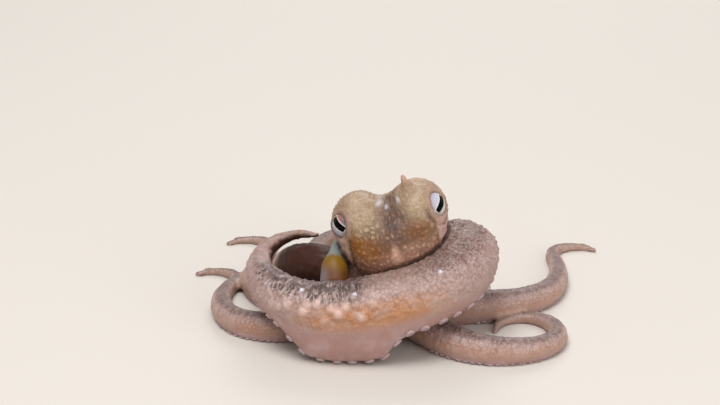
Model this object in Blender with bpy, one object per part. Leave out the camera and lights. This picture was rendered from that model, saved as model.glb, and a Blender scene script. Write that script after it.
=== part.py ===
"""Veined octopus, young and life size, sitting with one arm folded across its front.

Metres, +Z up. The face looks toward -Y and the mantle lies behind it, toward +Y. The
animal's left side is +X. The origin is on the floor, under the crown of arms.
"""
import math

import bmesh
import bpy
from mathutils import Matrix
from mathutils import Vector

MM = 0.001
GAP = 0.3 * MM          # clearance between pieces that touch

# Head, in its own frame: the origin is midway between the eyes
EYE_LINE_HEIGHT = 19.3 * MM
HEAD_ROLL = math.radians(13.4)      # the animal's left eye is the higher one
EYE_MOUND_OFFSET = 4.5 * MM
EYE_MOUND = Vector((4.55, 5.3, 4.8)) * MM
EYE_RADIUS = 2.4 * MM
EYE_BULGE = 0.55 * MM               # how far an eye stands out of its mound
EYE_ANGLE = math.radians(51.0)      # from straight ahead, out to the side
EYE_TILT = math.radians(16.0)        # upward
PAPILLA_HEIGHT = 1.9 * MM
PAPILLA_RADIUS = 0.62 * MM

# Mantle and crown
MANTLE_LENGTH = 26.0 * MM
MANTLE_WIDTH = 17.6 * MM
MANTLE_HEIGHT = 14.0 * MM
CROWN_CENTRE = Vector((0.0, 3.2, 0.0)) * MM
CROWN_RADIUS = 8.2 * MM
CROWN_HEIGHT = 12.2 * MM
ARM_ROOT = 5.0 * MM                 # arms start this far from the crown's centre, inside it

# Arms
ARM_RADIUS = 2.95 * MM
ARM_TIP_RADIUS = 0.32 * MM
ARM_SIDES = 10
FRONT_ARM_RADIUS = 4.7 * MM
FRONT_ARM_SIDES = 14
FRONT_SKIRT = 3.4 * MM              # how much deeper the front arm is where it stands
SKIRT_GROWS = (0.40, 0.46)          # shares of the arm's length where the skirt starts
SKIRT_FADES = (0.57, 0.65)          # and where it ends
RAISED_TAPER = (0.45, 1.03)         # a raised arm keeps its radius up to the first share
ARM_STEP = 2.3 * MM                 # spacing of the rings along an arm
FLATTENED = 0.86                    # an arm lies this share of its radius above the floor
THREE_LENGTHS = ("base", "mid", "tip")
FRONT_LENGTHS = ("base", "rise", "front", "turn", "curl", "tip")

# Funnel
FUNNEL_NECK_RADIUS = 0.95 * MM
FUNNEL_MOUTH_RADIUS = 2.3 * MM
FUNNEL_WALL = 0.55 * MM
FUNNEL_FLARE = (0.42, 0.84)         # it widens between these shares of its length
FUNNEL_BORE_RINGS = 4
FUNNEL_SIDES = 12


def clear_scene():
    for thing in list(bpy.data.objects):
        bpy.data.objects.remove(thing, do_unlink=True)


def new_collection(name):
    collection = bpy.data.collections.new(name)
    bpy.context.scene.collection.children.link(collection)
    return collection


def flesh_material(name, colour, roughness):
    material = bpy.data.materials.new(name)
    material.use_nodes = True
    shader = material.node_tree.nodes["Principled BSDF"]
    shader.inputs["Base Color"].default_value = (*colour, 1.0)
    shader.inputs["Roughness"].default_value = roughness
    shader.inputs["Metallic"].default_value = 0.0
    return material


def add_object(name, bm, collection, colour, roughness=0.45):
    """Turns a bmesh into a smooth-shaded object with a material of its own."""
    bmesh.ops.recalc_face_normals(bm, faces=bm.faces[:])
    if bm.calc_volume(signed=True) < 0.0:
        bmesh.ops.reverse_faces(bm, faces=bm.faces[:])
    mesh = bpy.data.meshes.new(name)
    bm.to_mesh(mesh)
    bm.free()
    mesh.shade_smooth()
    mesh.materials.append(flesh_material(name + "_skin", colour, roughness))
    piece = bpy.data.objects.new(name, mesh)
    collection.objects.link(piece)
    return piece


# Soft forms: ellipsoid lobes that melt into one another

def lobe_distance(point, centre, half_axes):
    """How far a point is outside an ellipsoid, close to its surface."""
    offset = point - centre
    scaled = Vector(offset[i] / half_axes[i] for i in range(3))
    steep = Vector(offset[i] / half_axes[i] ** 2 for i in range(3))
    if steep.length == 0.0:
        return -min(half_axes)
    return scaled.length * (scaled.length - 1.0) / steep.length


def melted_distance(point, lobes, melt):
    distance = lobe_distance(point, *lobes[0])
    for lobe in lobes[1:]:
        other = lobe_distance(point, *lobe)
        overlap = max(melt - abs(distance - other), 0.0) / melt
        distance = min(distance, other) - overlap * overlap * melt / 4.0
    return distance


def melted_form(middle, lobes, melt, segments, rings):
    """A sphere whose points are pushed out to the surface of the melted lobes."""
    reach = 40.0 * MM
    bm = bmesh.new()
    bmesh.ops.create_uvsphere(bm, u_segments=segments, v_segments=rings, radius=1.0)
    for vert in bm.verts:
        direction = vert.co.normalized()
        inner = 0.0
        outer = reach
        while outer - inner > 0.002 * MM:
            radius = (inner + outer) / 2.0
            if melted_distance(middle + direction * radius, lobes, melt) < 0.0:
                inner = radius
            else:
                outer = radius
        vert.co = middle + direction * inner
    return bm


def lay_flat(bm):
    """What would sink into the floor is pressed flat on it."""
    for vert in bm.verts:
        vert.co.z = max(vert.co.z, 0.0)


# Cuts

def grown_copy(piece, collection, amount=GAP):
    """A cutter: the same form, larger all round by the clearance."""
    bm = bmesh.new()
    bm.from_mesh(piece.data)
    bm.normal_update()
    offsets = [vert.normal * amount for vert in bm.verts]
    for vert, offset in zip(bm.verts, offsets):
        vert.co += offset
    mesh = bpy.data.meshes.new(piece.name + "_cutter")
    bm.to_mesh(mesh)
    bm.free()
    cutter = bpy.data.objects.new(piece.name + "_cutter", mesh)
    collection.objects.link(cutter)
    cutter.hide_render = True
    cutter.display_type = "WIRE"
    return cutter


def corners(piece):
    points = [vert.co for vert in piece.data.vertices]
    low = Vector(min(point[i] for point in points) for i in range(3))
    high = Vector(max(point[i] for point in points) for i in range(3))
    return low, high


def boxes_meet(one, other):
    low_one, high_one = corners(one)
    low_other, high_other = corners(other)
    return all(low_one[i] < high_other[i] and low_other[i] < high_one[i] for i in range(3))


def cut(piece, *cutters, solver="EXACT"):
    for cutter in cutters:
        if boxes_meet(piece, cutter):
            modifier = piece.modifiers.new("cut by " + cutter.name, "BOOLEAN")
            modifier.operation = "DIFFERENCE"
            modifier.solver = solver
            modifier.object = cutter


# Head and eyes

def head_frame():
    place = Matrix.Translation((0.0, 0.0, EYE_LINE_HEIGHT))
    return place @ Matrix.Rotation(-HEAD_ROLL, 4, "Y")


def eye_axis(side):
    """The way an eye looks, in the head's frame; side is 1 for the left eye."""
    flat = math.cos(EYE_TILT)
    out = side * math.sin(EYE_ANGLE) * flat
    return Vector((out, -math.cos(EYE_ANGLE) * flat, math.sin(EYE_TILT)))


def mound_centre(side):
    return Vector((side * EYE_MOUND_OFFSET, -0.3 * MM, 0.1 * MM))


def eye_centre(side):
    return mound_centre(side) + eye_axis(side) * (EYE_MOUND.x + EYE_BULGE - EYE_RADIUS)


def make_head(collection):
    lobes = [
        (Vector((0.0, 1.0, -2.9)) * MM, Vector((7.7, 7.6, 5.9)) * MM),     # brain case
        (Vector((0.0, -1.7, -3.9)) * MM, Vector((7.4, 6.6, 5.4)) * MM),    # face
        (Vector((0.0, 3.4, -5.0)) * MM, Vector((7.0, 6.0, 5.5)) * MM),     # nape
    ]
    for side in (-1, 1):
        lobes.append((mound_centre(side), EYE_MOUND))
    bm = melted_form(Vector((0.0, 0.0, -2.0)) * MM, lobes, 1.5 * MM, 34, 18)
    bm.transform(head_frame())
    return add_object("head", bm, collection, (0.46, 0.33, 0.22))


def make_papilla(collection):
    """The small soft horn over the left eye; it is joined to the head."""
    bm = bmesh.new()
    bmesh.ops.create_cone(bm, cap_ends=True, segments=8, radius1=PAPILLA_RADIUS,
                          radius2=0.14 * MM, depth=PAPILLA_HEIGHT)
    lean = Matrix.Rotation(math.radians(-12.0), 4, "Y")
    bm.transform(head_frame() @ Matrix.Translation(Vector((3.5, -1.6, 5.1)) * MM) @ lean)
    return add_object("papilla", bm, collection, (0.7, 0.55, 0.45))


def make_eye(name, side, collection):
    bm = bmesh.new()
    bmesh.ops.create_uvsphere(bm, u_segments=16, v_segments=10, radius=EYE_RADIUS)
    turn = Vector((0.0, 0.0, 1.0)).rotation_difference(eye_axis(side)).to_matrix().to_4x4()
    bm.transform(head_frame() @ Matrix.Translation(eye_centre(side)) @ turn)
    return add_object(name, bm, collection, (0.8, 0.78, 0.72), 0.12)


# Mantle and crown

def make_mantle(collection):
    half = Vector((MANTLE_WIDTH, MANTLE_LENGTH, MANTLE_HEIGHT)) / 2.0
    sac = Vector((0.0, 20.5 * MM, half.z - 0.5 * MM))
    lobes = [
        (sac, half),
        (Vector((0.0, 12.5, 7.6)) * MM, Vector((7.6, 8.0, 7.0)) * MM),     # front of the sac
        (Vector((0.0, 8.0, 10.0)) * MM, Vector((5.8, 6.0, 5.4)) * MM),     # neck
    ]
    bm = melted_form(Vector((0.0, 17.0, 7.0)) * MM, lobes, 2.5 * MM, 26, 16)
    lay_flat(bm)
    return add_object("mantle", bm, collection, (0.36, 0.24, 0.17))


def make_crown(collection):
    half = Vector((CROWN_RADIUS, CROWN_RADIUS * 0.94, CROWN_HEIGHT * 0.62))
    lobes = [
        (CROWN_CENTRE + Vector((0.0, 0.0, CROWN_HEIGHT - half.z)), half),
        (CROWN_CENTRE + Vector((0.0, 0.0, 3.0 * MM)), Vector((8.6, 7.8, 4.2)) * MM),
    ]
    middle = CROWN_CENTRE + Vector((0.0, 0.0, 4.0 * MM))
    bm = melted_form(middle, lobes, 2.0 * MM, 24, 12)
    lay_flat(bm)
    return add_object("web", bm, collection, (0.42, 0.28, 0.26))


# Arms

def arc_route(start, heading, arcs):
    """Points along arcs on the floor plan; each arc is (length, turn in degrees)."""
    points = [Vector((start.x, start.y))]
    for length, turn in arcs:
        steps = max(2, round(length * MM / ARM_STEP))
        for _ in range(steps):
            heading += turn / steps / 2.0
            angle = math.radians(heading)
            ahead = Vector((math.sin(angle), -math.cos(angle))) * (length * MM / steps)
            points.append(points[-1] + ahead)
            heading += turn / steps / 2.0
    return points


def smooth_route(points, step):
    """Evenly spaced points on a smooth curve through a few given ones."""
    padded = [points[0] * 2 - points[1], *points, points[-1] * 2 - points[-2]]
    fine = []
    for i in range(1, len(padded) - 2):
        a, b, c, d = padded[i - 1:i + 3]
        for k in range(20):
            t = k / 20.0
            fine.append(0.5 * (2 * b + (c - a) * t + (2 * a - 5 * b + 4 * c - d) * t * t
                               + (3 * b - a - 3 * c + d) * t ** 3))
    fine.append(points[-1])
    total = sum((fine[i + 1] - fine[i]).length for i in range(len(fine) - 1))
    count = max(2, round(total / step))
    spaced = [fine[0]]
    walked = 0.0
    for i in range(len(fine) - 1):
        walked += (fine[i + 1] - fine[i]).length
        if walked >= total / count * len(spaced) - 1e-9:
            spaced.append(fine[i + 1])
    return spaced


def ease(low, high, value):
    share = min(max((value - low) / (high - low), 0.0), 1.0)
    return share * share * (3.0 - 2.0 * share)


def taper(share, base_radius):
    """Radius along an arm: slow at first, then down to a fine, rounded tip."""
    slender = (1.0 - share) ** 0.9
    return ARM_TIP_RADIUS + (base_radius - ARM_TIP_RADIUS) * slender


def section(centre, ahead, half_width, rise, drop, sides):
    """One ring of an arm: round above, squarer below, where the suckers are."""
    across = ahead.cross(Vector((0.0, 0.0, 1.0))).normalized()
    upward = across.cross(ahead).normalized()
    ring = []
    for k in range(sides):
        angle = 2.0 * math.pi * (k + 0.5) / sides
        wide = math.cos(angle)
        high = math.sin(angle)
        if high < 0.0:
            wide = math.copysign(abs(wide) ** 0.75, wide)
            point = centre + across * wide * half_width + upward * high * drop
        else:
            point = centre + across * wide * half_width + upward * high * rise
        point.z = max(point.z, 0.0)
        ring.append(point)
    return ring


def loft(rings):
    """A closed skin over unlike rings, with flat ends."""
    bm = bmesh.new()
    loops = [[bm.verts.new(point) for point in ring] for ring in rings]
    for one, other in zip(loops, loops[1:]):
        for k in range(len(one)):
            nxt = (k + 1) % len(one)
            bm.faces.new((one[k], one[nxt], other[nxt], other[k]))
    bm.faces.new(loops[0])
    bm.faces.new(reversed(loops[-1]))
    return bm


def make_arm(name, route, half_widths, rises, drops, lengths, sides, collection, colour):
    """Parts an arm into lengths, with a thin straight cut between two of them."""
    last = len(route) - 1
    pieces = []
    bounds = [round(last * i / len(lengths)) for i in range(len(lengths) + 1)]
    for label, first, final in zip(lengths, bounds, bounds[1:]):
        rings = []
        for i in range(first, final + 1):
            ahead = (route[min(i + 1, last)] - route[max(i - 1, 0)]).normalized()
            centre = route[i].copy()
            if i == first and first > 0:
                centre += ahead * GAP / 2.0
            if i == final and final < last:
                centre -= ahead * GAP / 2.0
            rings.append(section(centre, ahead, half_widths[i], rises[i], drops[i], sides))
        pieces.append(add_object(name + "_" + label, loft(rings), collection, colour))
    return pieces


def make_floor_arm(name, azimuth, heading, arcs, collection):
    """An arm that lies on the floor; azimuth is where it leaves the crown."""
    angle = math.radians(azimuth)
    start = CROWN_CENTRE + Vector((math.sin(angle), -math.cos(angle), 0.0)) * ARM_ROOT
    plan = arc_route(start, heading, arcs)
    last = len(plan) - 1
    radii = [taper(i / last, ARM_RADIUS) for i in range(last + 1)]
    route = [Vector((*plan[i], radii[i] * FLATTENED)) for i in range(last + 1)]
    rises = [radius * 1.02 for radius in radii]
    return make_arm(name, route, radii, rises, radii, THREE_LENGTHS, ARM_SIDES, collection,
                    (0.40, 0.27, 0.24))


def make_raised_arm(name, points, radius, skirt, lengths, sides, collection):
    """An arm that is lifted off the floor for part of its way."""
    route = smooth_route([Vector(point) * MM for point in points], ARM_STEP)
    last = len(route) - 1
    radii = []
    drops = []
    for i in range(last + 1):
        share = i / last
        full = 1.0 - ease(*RAISED_TAPER, share)
        radii.append(ARM_TIP_RADIUS + (radius - ARM_TIP_RADIUS) * full)
        stands = ease(*SKIRT_GROWS, share) * (1.0 - ease(*SKIRT_FADES, share))
        drops.append(radii[i] + skirt * stands)
    return make_arm(name, route, radii, radii, drops, lengths, sides, collection,
                    (0.48, 0.32, 0.30))


# Funnel

def make_funnel(collection):
    """The siphon: a short tube that is open at its free end."""
    points = [Vector(point) * MM for point in ((-5.6, 2.4, 13.6), (-8.0, 0.2, 14.6),
                                               (-8.6, -2.4, 13.8), (-8.6, -5.2, 9.9))]
    route = smooth_route(points, 1.2 * MM)
    last = len(route) - 1
    radii = [FUNNEL_NECK_RADIUS + (FUNNEL_MOUTH_RADIUS - FUNNEL_NECK_RADIUS)
             * ease(*FUNNEL_FLARE, i / last) for i in range(last + 1)]
    rings = []
    for i, centre in enumerate(route):
        ahead = (route[min(i + 1, last)] - route[max(i - 1, 0)]).normalized()
        rings.append(section(centre, ahead, radii[i], radii[i], radii[i], FUNNEL_SIDES))
    for i in range(last, last - FUNNEL_BORE_RINGS, -1):
        ahead = (route[min(i + 1, last)] - route[i - 1]).normalized()
        inner = radii[i] - FUNNEL_WALL
        rings.append(section(route[i], ahead, inner, inner, inner, FUNNEL_SIDES))
    return add_object("funnel", loft(rings), collection, (0.62, 0.52, 0.22), 0.3)


clear_scene()
octopus = new_collection("octopus")
cutters = new_collection("cutters")

head = make_head(octopus)
eyes = [make_eye("eye_left", 1, octopus), make_eye("eye_right", -1, octopus)]
eye_cutters = [grown_copy(eye, cutters) for eye in eyes]
head_cutter = grown_copy(head, cutters)
papilla = make_papilla(cutters)
papilla.hide_render = True
papilla.display_type = "WIRE"
horn = head.modifiers.new("papilla", "BOOLEAN")
horn.operation = "UNION"
horn.object = papilla
cut(head, *eye_cutters)

web = make_crown(octopus)
web_cutter = grown_copy(web, cutters)
cut(web, head_cutter)

mantle = make_mantle(octopus)
mantle_cutter = grown_copy(mantle, cutters)
cut(mantle, head_cutter, web_cutter)

funnel = make_funnel(octopus)
cut(funnel, head_cutter, web_cutter, mantle_cutter)

# For each arm on the floor: where it leaves the crown and which way it heads, in degrees
# from straight ahead toward the animal's left, then its arcs as (millimetres, turn)
FLOOR_ARMS = {
    "arm_left_1": (40, 30, ((10, 12), (14, 75), (14, 95), (12, 150))),
    "arm_left_3": (88, 92, ((12, 12), (16, 60), (14, 25), (12, -140))),
    "arm_left_4": (132, 128, ((8, 22), (18, 38), (16, 65), (12, 90))),
    "arm_right_1": (-48, -78, ((12, 4), (12, -80), (16, -50), (12, 150))),
    "arm_right_3": (-94, -98, ((10, -14), (16, -72), (14, -10), (12, 150))),
    "arm_right_4": (-134, -129, ((8, -22), (18, -34), (12, -40), (12, -50))),
}
arms = []
for arm_name, (azimuth, heading, arcs) in FLOOR_ARMS.items():
    arms += make_floor_arm(arm_name, azimuth, heading, arcs, octopus)

# The two raised arms follow smooth curves through a few points, in millimetres
FRONT_ROUTE = ((4.5, 4.4, 8.4), (9.6, 3.6, 12.0), (12.3, -1.0, 13.2), (9.8, -6.6, 11.8),
               (4.8, -9.8, 10.1), (-0.8, -10.9, 8.8), (-6.4, -11.0, 7.9), (-12.2, -10.0, 7.8),
               (-17.3, -6.6, 8.9), (-20.4, -0.8, 10.2), (-19.6, 5.0, 11.8), (-15.4, 7.8, 13.2),
               (-11.6, 5.8, 13.9))
arms += make_raised_arm("arm_left_2", FRONT_ROUTE, FRONT_ARM_RADIUS, FRONT_SKIRT,
                        FRONT_LENGTHS, FRONT_ARM_SIDES, octopus)
SIDE_ROUTE = ((-4.5, 3.4, 7.0), (-10.0, 4.6, 9.2), (-14.6, 8.6, 8.0), (-16.4, 14.0, 4.4),
              (-17.0, 19.6, 2.1), (-17.3, 25.0, 1.5), (-18.2, 29.6, 1.0), (-16.4, 32.4, 0.7))
arms += make_raised_arm("arm_right_2", SIDE_ROUTE, ARM_RADIUS, 0.0, THREE_LENGTHS,
                        ARM_SIDES, octopus)
for arm in arms:        # EXACT empties one of these, so they take the other solver
    cut(arm, web_cutter, head_cutter, mantle_cutter, solver="MANIFOLD")
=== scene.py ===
import math

import bmesh
import bpy
import numpy as np
from mathutils import Matrix, Vector, bvhtree, noise


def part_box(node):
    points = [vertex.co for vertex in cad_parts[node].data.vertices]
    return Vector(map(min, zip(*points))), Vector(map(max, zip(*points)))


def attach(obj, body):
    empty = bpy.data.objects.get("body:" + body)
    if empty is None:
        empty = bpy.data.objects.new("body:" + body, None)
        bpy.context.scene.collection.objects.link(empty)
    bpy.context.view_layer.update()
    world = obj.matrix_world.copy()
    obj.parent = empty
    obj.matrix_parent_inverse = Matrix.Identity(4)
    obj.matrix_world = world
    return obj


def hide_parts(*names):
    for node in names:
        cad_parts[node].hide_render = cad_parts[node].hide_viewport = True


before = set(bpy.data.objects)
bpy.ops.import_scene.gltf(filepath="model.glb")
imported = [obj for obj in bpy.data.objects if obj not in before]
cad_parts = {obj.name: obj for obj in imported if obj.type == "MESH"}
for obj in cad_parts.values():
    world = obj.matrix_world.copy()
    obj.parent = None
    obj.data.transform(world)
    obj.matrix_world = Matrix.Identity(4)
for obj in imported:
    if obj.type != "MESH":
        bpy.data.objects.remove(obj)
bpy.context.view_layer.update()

MM = 0.001


# Camera: a macro lens close to the floor, looking slightly down on the face. It aims a
# little to the side of the head and above its middle, so the folded arm fills the foot.
VIEW_ELEVATION = math.radians(20.0)
VIEW_DISTANCE = 300.0 * MM
VIEW_WIDTH = 112.0 * MM             # what the frame takes in at that distance
AIM_FROM_HEAD = Vector((-4.6, -0.5, 4.1)) * MM
SENSOR = 36.0


def placed(name, data):
    """A new object in the scene for some data."""
    made = bpy.data.objects.new(name, data)
    bpy.context.scene.collection.objects.link(made)
    return made


head_low, head_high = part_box("head")
head_middle = (head_low + head_high) / 2.0
aim = head_middle + AIM_FROM_HEAD
outward = Vector((0.0, -math.cos(VIEW_ELEVATION), math.sin(VIEW_ELEVATION)))
camera_data = bpy.data.cameras.new("macro_lens")
camera_data.sensor_width = SENSOR
camera_data.lens = SENSOR * VIEW_DISTANCE / VIEW_WIDTH
camera_data.clip_start = 0.005
camera = placed("macro_lens", camera_data)
camera.location = aim + outward * VIEW_DISTANCE
camera.rotation_euler = (-outward).to_track_quat("-Z", "Y").to_euler()
bpy.context.scene.camera = camera


# Floor and light: a plain pale studio floor, a broad soft light high in front, weaker ones
# from the other side and behind, and a pale room, so the moist skin shows soft highlights.
def linear(colour):
    """An sRGB hex colour as the four linear values that a shader takes."""
    values = [int(colour[i:i + 2], 16) / 255.0 for i in (1, 3, 5)]
    return (*(v / 12.92 if v <= 0.04045 else ((v + 0.055) / 1.055) ** 2.4 for v in values), 1.0)


def set_inputs(node, values):
    """Gives a node's inputs a value, a hex colour or another node's output."""
    for socket, value in values.items():
        if isinstance(value, bpy.types.NodeSocket):
            node.id_data.links.new(value, node.inputs[socket])
        else:
            node.inputs[socket].default_value = linear(value) if isinstance(value, str) else value


def add_node(tree, kind, values=None, **settings):
    """Adds a shader node with its settings, and with values for its inputs."""
    made = tree.nodes.new(kind)
    for name, value in settings.items():
        setattr(made, name, value)
    set_inputs(made, values or {})
    return made


def mesh_of(name, bm):
    """A mesh made from a finished bmesh, which is then freed."""
    made = bpy.data.meshes.new(name)
    bm.to_mesh(made)
    bm.free()
    return made


floor_paint = bpy.data.materials.new("matt_white_paint")
floor_paint.use_nodes = True
floor_shader = floor_paint.node_tree.nodes["Principled BSDF"]
set_inputs(floor_shader, {"Base Color": "#cfc9c2", "Roughness": 0.9})
bm = bmesh.new()
bmesh.ops.create_grid(bm, x_segments=1, y_segments=1, size=3.0)
floor_mesh = mesh_of("floor", bm)
floor_mesh.materials.append(floor_paint)
floor = placed("floor", floor_mesh)

for light_name, place, size, power in (("key", (-0.10, -0.17, 0.52), 0.30, 2.2),
                                       ("fill", (0.30, -0.34, 0.20), 0.30, 0.75),
                                       ("back", (0.05, 0.42, 0.34), 0.30, 1.0)):
    light_data = bpy.data.lights.new(light_name, "AREA")
    light_data.size = size
    light_data.energy = power
    light = placed(light_name, light_data)
    light.location = place
    light.rotation_euler = (-Vector(place)).to_track_quat("-Z", "Y").to_euler()

room = bpy.data.worlds.new("pale_room")
room.use_nodes = True
set_inputs(room.node_tree.nodes["Background"], {"Color": "#f2efec", "Strength": 0.55})
bpy.context.scene.world = room
bpy.context.scene.view_settings.view_transform = "Standard"


# Where the arms run. An octopus arm is one tapering muscle with its suckers along the
# underside; its middle line tells the skin which side is up, and seats the suckers.
CROWN_CENTRE = Vector((0.0, 3.2, 0.0)) * MM
ARM_ROOT = 5.0 * MM                 # from the crown's centre out to an arm's root
ARM_RADIUS = 2.95 * MM
FRONT_ARM_RADIUS = 4.7 * MM
ARM_TIP_RADIUS = 0.32 * MM
FLATTENED = 0.86                    # an arm's height over its width, on the floor
LINE_STEP = 0.5 * MM                # between the points of a middle line
FRONT_SKIRT = 3.4 * MM              # the folded arm's skirt hangs this far below its round
SKIRT_BEGINS = (0.40, 0.46)         # shares of the arm's length
SKIRT_ENDS = (0.57, 0.65)
RAISED_TAPER = (0.45, 1.03)         # where a raised arm starts to narrow and where it ends

# the angle where an arm leaves the crown, its heading, then each arc's millimetres and turn
FLOOR_ARMS = {
    "arm_left_1": (40, 30, ((10, 12), (14, 75), (14, 95), (12, 150))),
    "arm_left_3": (88, 92, ((12, 12), (16, 60), (14, 25), (12, -140))),
    "arm_left_4": (132, 128, ((8, 22), (18, 38), (16, 65), (12, 90))),
    "arm_right_1": (-48, -78, ((12, 4), (12, -80), (16, -50), (12, 150))),
    "arm_right_3": (-94, -98, ((10, -14), (16, -72), (14, -10), (12, 150))),
    "arm_right_4": (-134, -129, ((8, -22), (18, -34), (12, -40), (12, -50))),
}
# points in millimetres that the two raised arms pass through
FRONT_ROUTE = ((4.5, 4.4, 8.4), (9.6, 3.6, 12.0), (12.3, -1.0, 13.2), (9.8, -6.6, 11.8),
               (4.8, -9.8, 10.1), (-0.8, -10.9, 8.8), (-6.4, -11.0, 7.9), (-12.2, -10.0, 7.8),
               (-17.3, -6.6, 8.9), (-20.4, -0.8, 10.2), (-19.6, 5.0, 11.8), (-15.4, 7.8, 13.2),
               (-11.6, 5.8, 13.9))
SIDE_ROUTE = ((-4.5, 3.4, 7.0), (-10.0, 4.6, 9.2), (-14.6, 8.6, 8.0), (-16.4, 14.0, 4.4),
              (-17.0, 19.6, 2.1), (-17.3, 25.0, 1.5), (-18.2, 29.6, 1.0), (-16.4, 32.4, 0.7))


def ease(low, high, value):
    """0 below low, 1 above high and smooth between them, for numbers and arrays alike."""
    share = np.clip((value - low) / (high - low), 0.0, 1.0)
    return share * share * (3.0 - 2.0 * share)


def floor_line(azimuth, heading, arcs):
    """Middle line, radii and depths of an arm on the floor, from arcs in mm and degrees."""
    angle = math.radians(azimuth)
    start = CROWN_CENTRE + Vector((math.sin(angle), -math.cos(angle), 0.0)) * ARM_ROOT
    plan = [Vector((start.x, start.y))]
    for length, turn in arcs:
        steps = max(2, round(length * MM / LINE_STEP))
        for _ in range(steps):
            heading += turn / steps / 2.0
            angle = math.radians(heading)
            ahead = Vector((math.sin(angle), -math.cos(angle)))
            plan.append(plan[-1] + ahead * length * MM / steps)
            heading += turn / steps / 2.0
    last = len(plan) - 1
    radii = [ARM_TIP_RADIUS + (ARM_RADIUS - ARM_TIP_RADIUS) * (1.0 - i / last) ** 0.9
             for i in range(last + 1)]
    return [Vector((*plan[i], radii[i] * FLATTENED)) for i in range(last + 1)], radii, radii


def raised_line(points, radius, skirt):
    """Middle line, radii and depths of an arm that runs smoothly through raised points."""
    points = [Vector(point) * MM for point in points]
    padded = [points[0] * 2 - points[1], *points, points[-1] * 2 - points[-2]]
    line = []
    for i in range(1, len(padded) - 2):
        a, b, c, d = padded[i - 1:i + 3]
        count = max(2, round((c - b).length / LINE_STEP))
        for k in range(count):
            t = k / count
            line.append(0.5 * (2 * b + (c - a) * t + (2 * a - 5 * b + 4 * c - d) * t * t
                               + (3 * b - a - 3 * c + d) * t ** 3))
    line.append(points[-1])
    last = len(line) - 1
    radii = []
    drops = []
    for i in range(last + 1):
        share = i / last
        full = 1.0 - ease(*RAISED_TAPER, share)
        radii.append(ARM_TIP_RADIUS + (radius - ARM_TIP_RADIUS) * full)
        stands = ease(*SKIRT_BEGINS, share) * (1.0 - ease(*SKIRT_ENDS, share))
        drops.append(radii[-1] + skirt * stands)
    return line, radii, drops


arm_lines = {name: floor_line(*way) for name, way in FLOOR_ARMS.items()}
arm_lines["arm_left_2"] = raised_line(FRONT_ROUTE, FRONT_ARM_RADIUS, FRONT_SKIRT)
arm_lines["arm_right_2"] = raised_line(SIDE_ROUTE, ARM_RADIUS, 0.0)


def arm_frame(line, i):
    """Ahead, across and upward at one point of an arm's middle line."""
    ahead = (line[min(i + 1, len(line) - 1)] - line[max(i - 1, 0)]).normalized()
    across = ahead.cross(Vector((0.0, 0.0, 1.0))).normalized()
    return ahead, across, across.cross(ahead).normalized()


# Head frame: the eyes' own places give the head's tilt and turn. Its X runs from the right
# eye to the left, its Y to the nape and its Z to the crown, in millimetres.
def box_middle(name):
    low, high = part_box(name)
    return (low + high) / 2.0


EYE_ANGLE = math.radians(51.0)      # each eye looks this far out to its side
EYE_TILT = math.radians(16.0)       # and this far up
EYE_GAZE = math.radians(5.0)        # both are turned this much to the animal's left
EYE_RADIUS = 2.4                    # millimetres
EYE_FORWARD = 1.93                  # the eyes' middles lie this far before the head's axis
EYE_RISE = 0.84

eye_middle = {1: box_middle("eye_left"), -1: box_middle("eye_right")}
head_x = (eye_middle[1] - eye_middle[-1]).normalized()
head_y = Vector((0.0, 0.0, 1.0)).cross(head_x).normalized()
head_z = head_x.cross(head_y)
between = (eye_middle[1] + eye_middle[-1]) / 2.0
head_origin = between + (head_y * EYE_FORWARD - head_z * EYE_RISE) * MM
head_turn = np.array([head_x, head_y, head_z])


def in_head(points):
    """Points in metres as millimetres in the head's frame."""
    return (points - np.array(head_origin)) @ head_turn.T / MM


def eye_axes(side):
    """The way an eye looks, its own sideways direction and its own upward one."""
    angle = EYE_ANGLE + EYE_GAZE * side
    look = (head_x * side * math.sin(angle) * math.cos(EYE_TILT)
            - head_y * math.cos(angle) * math.cos(EYE_TILT)
            + head_z * math.sin(EYE_TILT)).normalized()
    upward = (head_z - look * head_z.dot(look)).normalized()
    return look, upward.cross(look), upward


# Skin: one moist, elastic hide over the head, mantle, web and all eight arms, with no
# seam. The parted solids are joined, closed over by a fine voxel skin and smoothed; the
# eyelids, folds, granules and tubercles are then raised from it.
VOXEL = 0.47 * MM
CLOSING = 0.2 * MM                  # each solid grows by this, so the cuts close
LID_OVER_EYE = 0.05 * MM
SMOOTHING_ROUNDS = 14
LAST_ROUNDS = 3                     # once more, when parts of the mesh have been refined
HORN = (3.8, -1.7, 5.1)             # the soft horn stands between the cleft and the left eye
FINE_BY_EYE = 3.2 * MM
FINE_BY_HORN = 1.6
flesh = [name for name in sorted(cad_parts) if not name.startswith(("eye_", "funnel"))]
bm = bmesh.new()
for name in [*flesh, "eye_left", "eye_right"]:
    solid = bmesh.new()
    solid.from_mesh(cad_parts[name].data)
    bmesh.ops.remove_doubles(solid, verts=solid.verts[:], dist=0.001 * MM)
    solid.normal_update()
    growth = LID_OVER_EYE if name.startswith("eye_") else CLOSING
    moves = [vert.normal * growth for vert in solid.verts]
    for vert, move in zip(solid.verts, moves):
        vert.co += move
    grown = mesh_of(name + "_grown", solid)
    bm.from_mesh(grown)
    bpy.data.meshes.remove(grown)
former = placed("flesh_joined", mesh_of("flesh_joined", bm))
remesh = former.modifiers.new("voxel skin", "REMESH")
remesh.mode = "VOXEL"
remesh.voxel_size = VOXEL
evaluated = former.evaluated_get(bpy.context.evaluated_depsgraph_get())
skin_mesh = bpy.data.meshes.new_from_object(evaluated)
skin_mesh.name = "skin"
bpy.data.objects.remove(former)


def vertex_array(mesh):
    flat = np.empty(len(mesh.vertices) * 3)
    mesh.vertices.foreach_get("co", flat)
    return flat.reshape(-1, 3)


def edge_array(mesh):
    flat = np.empty(len(mesh.edges) * 2, dtype=np.int64)
    mesh.edges.foreach_get("vertices", flat)
    return flat.reshape(-1, 2)


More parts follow.
